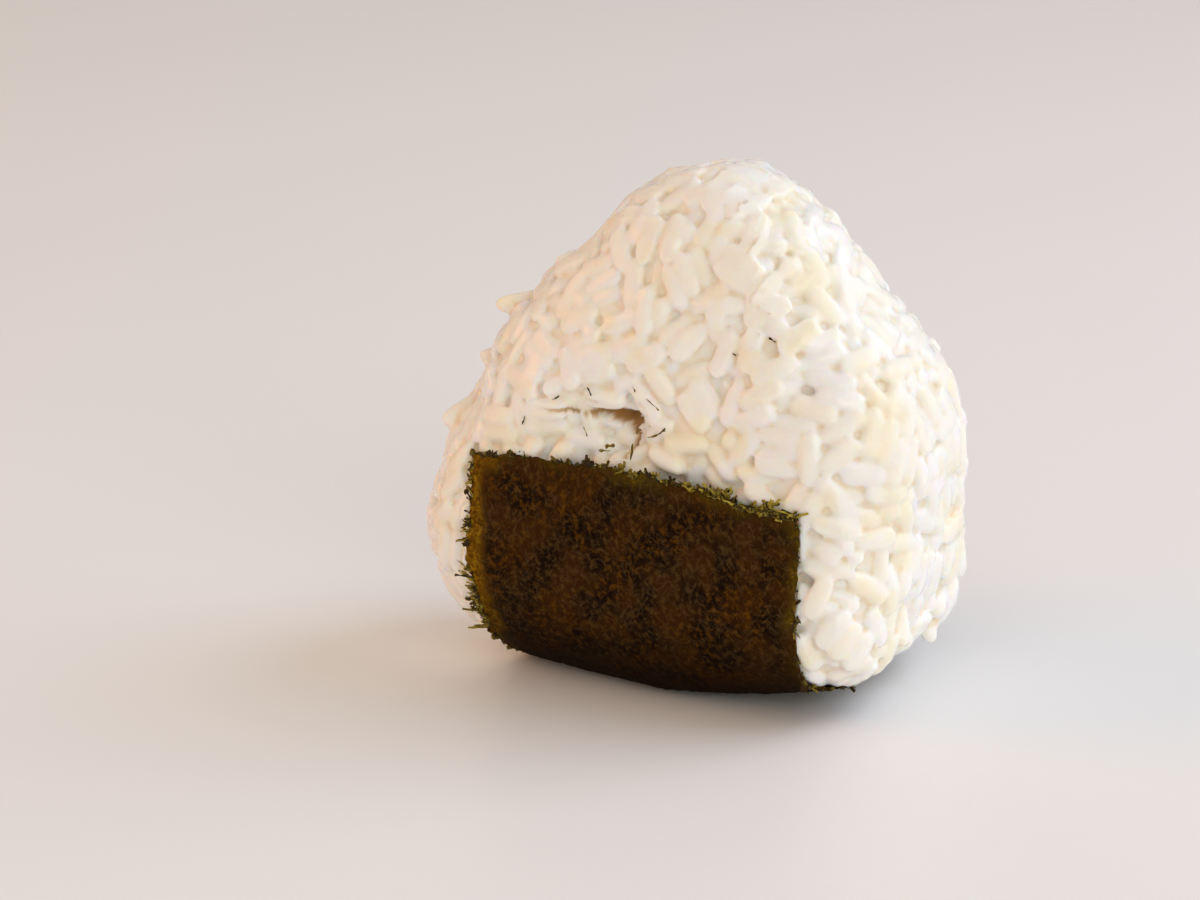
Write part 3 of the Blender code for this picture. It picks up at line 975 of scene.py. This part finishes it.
def crack_share(points):
    """How far points are inside the crack, from 0 at its rim to 1."""
    x, y, z = points.T / MM
    share = np.zeros(len(x))
    for x0, z0, width0, x1, z1, width1 in CRACK_LINES:
        along_x, along_z = x1 - x0, z1 - z0
        along = np.clip(((x - x0) * along_x + (z - z0) * along_z) / (along_x**2 + along_z**2), 0.0, 1.0)
        away = np.hypot(x - x0 - along * along_x, z - z0 - along * along_z)
        width = width0 + along * (width1 - width0)
        near = smooth_step((width - away) * MM / CRACK_RIM + 0.5) * smooth_step(width / FULL_WIDTH)
        share = np.maximum(share, near * (y < CRACK_FRONT))
    return share


def evened(mesh, points, rounds):
    """The points of a mesh, each drawn to the middle of its neighbours again and again."""
    ends = np.empty(len(mesh.edges) * 2, np.int32)
    mesh.edges.foreach_get("vertices", ends)
    first, second = ends.reshape(-1, 2).T
    count = len(points)
    neighbours = np.bincount(first, minlength=count) + np.bincount(second, minlength=count)
    for _ in range(rounds):
        total = [
            np.bincount(first, points[second, axis], count) + np.bincount(second, points[first, axis], count)
            for axis in range(3)
        ]
        points = points + EVEN_STEP * (np.stack(total, 1) / neighbours[:, None] - points)
    return points


def sunk(mesh, points, outward, rounds):
    """How deep each point lies under the evened surface around it."""
    return np.einsum("ij,ij->i", evened(mesh, points, rounds) - points, outward)


def core_points(surface):
    """The outline's own points drawn in, with the shelf deeper still."""
    mesh = mesh_of("core", surface.points, surface.faces)
    normals = np.zeros(len(mesh.vertices) * 3, np.float32)
    mesh.vertices.foreach_get("normal", normals)
    bpy.data.meshes.remove(mesh)
    covered = np.array([surface.bare_distance(point) > TUCK for point in surface.points])
    uneven = waves(surface.points, CORE_WAVE, 8) * CORE_UNEVENNESS
    depths = CORE_DEPTH + uneven + surface.shelf(surface.points)
    depths = np.where(covered, COVERED_CORE, depths)
    return surface.points - normals.reshape(-1, 3) * depths[:, None]


def fused_mesh(surface, grains):
    """The grains and the core grown into one soft skin."""
    grain_points, grain_faces = coordinates(grains), triangles(grains)
    core = core_points(surface)
    points = np.vstack([core, grain_points])
    faces = np.vstack([surface.faces, grain_faces + len(core)])
    holder = linked("fusing", mesh_of("fusing", points, faces))
    remesh = holder.modifiers.new("fuse", "REMESH")
    remesh.mode = "VOXEL"
    remesh.voxel_size = FUSE_VOXEL
    soften = holder.modifiers.new("soften", "SMOOTH")
    soften.factor = 0.5
    soften.iterations = FUSE_ROUNDS
    shrink = holder.modifiers.new("shrink", "DISPLACE")
    shrink.direction = "NORMAL"
    shrink.mid_level = 0.0
    shrink.strength = -SWELL
    fused = taken(holder, "fused")
    holder = linked("thinning", fused)
    thin = holder.modifiers.new("thin", "DECIMATE")
    thin.ratio = min(1.0, FUSE_TRIANGLES / (2.0 * len(fused.polygons)))
    return taken(holder, "rice_body")


def dress(mesh, packing, surface):
    """Presses the rice into the outline and gives each point its grain's tone and its depth, from which the
    finish paints shade into creases, deeper patches and the crack.
    """
    finder = KDTree(len(packing.centres) * 3)
    for index, (centre, way) in enumerate(zip(packing.centres, packing.ways)):
        for step in (-0.8, 0.0, 0.8):
            finder.insert(centre + way * packing.halves[index] * step, index)
    finder.balance()
    points = coordinates(mesh)
    grain = np.array([finder.find(point)[1] for point in points])
    points, outward = pressed(points, surface, packing.sticking[grain])
    pit = sunk(mesh, points, outward, PIT_ROUNDS) - PIT_DEPTH
    filled = np.where(packing.sticking[grain], 0.0, PIT_FILL * np.maximum(pit, 0.0))
    crack = crack_share(points)
    points += outward * (filled - CRACK_DEPTH * crack)[:, None]
    points += np.minimum(4.0 * crack, 1.0)[:, None] * (evened(mesh, points, CRACK_ROUNDS) - points)
    mesh.vertices.foreach_set("co", points.astype(np.float32).ravel())
    mesh.update()
    set_attribute(mesh, "tone", packing.tones[grain])
    # Depth under the evened skin, for the painted shade in the creases.
    set_attribute(mesh, "crease", sunk(mesh, points, outward, CREASE_ROUNDS) / MM)
    # The waves that sink whole patches of grains, kept to paint warm shade on the deeper patches.
    set_attribute(mesh, "valley", waves(points, LUMP_SIZE, 9))
    # How far inside the crack each point lies, for the painted shade there.
    set_attribute(mesh, "hollow", crack)


def add_rice(surface):
    packing = Packing(surface)
    rice = rice_finish()
    swollen = {"Length": GRAIN_LENGTH, "Width": GRAIN_WIDTH, "Thickness": GRAIN_THICKNESS}
    swollen = {key: size + 2.0 * SWELL for key, size in swollen.items()}
    grains = grain_maker(rice, 12, 9).run(packing.as_points(), "grains", Seed=SEED, **swollen)
    body = fused_mesh(surface, grains)
    dress(body, packing, surface)
    new_piece("rice_body", body, rice, "cooked_rice", "rice_ball")


# -------- studio
CAMERA_PLACE = Vector((231.7, -426.1, 169.9)) * MM
CAMERA_AIM = Vector((-68.5, 93.9, 0.0)) * MM
CAMERA_ROLL = math.radians(-2.2)
CAMERA_LENS = 105.7
LIGHT_AIM = (0.0, 0.0, 0.03)
# Name, place, width and height, power and colour.
LIGHTS = (
    ("window", (0.75, 0.45, 0.75), (0.9, 0.7), 5.9, (0.82, 0.91, 1.10)),
    ("front", (1.05, -0.90, 0.50), (0.9, 0.7), 6.0, (1.0, 0.90, 0.76)),
    ("warm_wall", (-1.15, -0.45, 0.52), (0.8, 0.6), 4.6, (1.0, 0.38, 0.07)),
)


def add_camera():
    data = bpy.data.cameras.new("camera")
    data.lens = CAMERA_LENS
    data.sensor_width = 36.0
    data.clip_start = 0.01
    camera = linked("camera", data)
    look = (CAMERA_AIM - CAMERA_PLACE).to_track_quat("-Z", "Y").to_matrix()
    turn = (look @ Matrix.Rotation(CAMERA_ROLL, 3, "Z")).to_4x4()
    camera.matrix_world = Matrix.Translation(CAMERA_PLACE) @ turn
    bpy.context.scene.camera = camera


def add_light(name, place, size, power, colour):
    data = bpy.data.lights.new(name, "AREA")
    data.shape = "RECTANGLE"
    data.size, data.size_y = size
    data.energy = power
    data.color = colour
    light = linked(name, data)
    light.location = place
    light.rotation_euler = (Vector(LIGHT_AIM) - Vector(place)).to_track_quat("-Z", "Y").to_euler()


def add_studio():
    scene = bpy.context.scene
    scene.view_settings.view_transform = "Standard"
    world = bpy.data.worlds.new("soft_room")
    scene.world = world
    world.use_nodes = True
    background = world.node_tree.nodes["Background"]
    background.inputs["Color"].default_value = (1.0, 0.91, 0.80, 1.0)
    background.inputs["Strength"].default_value = 0.50
    for light in LIGHTS:
        add_light(*light)
    bpy.ops.mesh.primitive_plane_add(size=6.0)
    floor = bpy.context.object
    floor.name = "floor"
    floor.data.materials.append(plain_finish("pale_table", (0.93, 0.95, 0.98), 0.45))


add_camera()
add_studio()
surface = Surface()
add_rice(surface)
add_nori(surface)
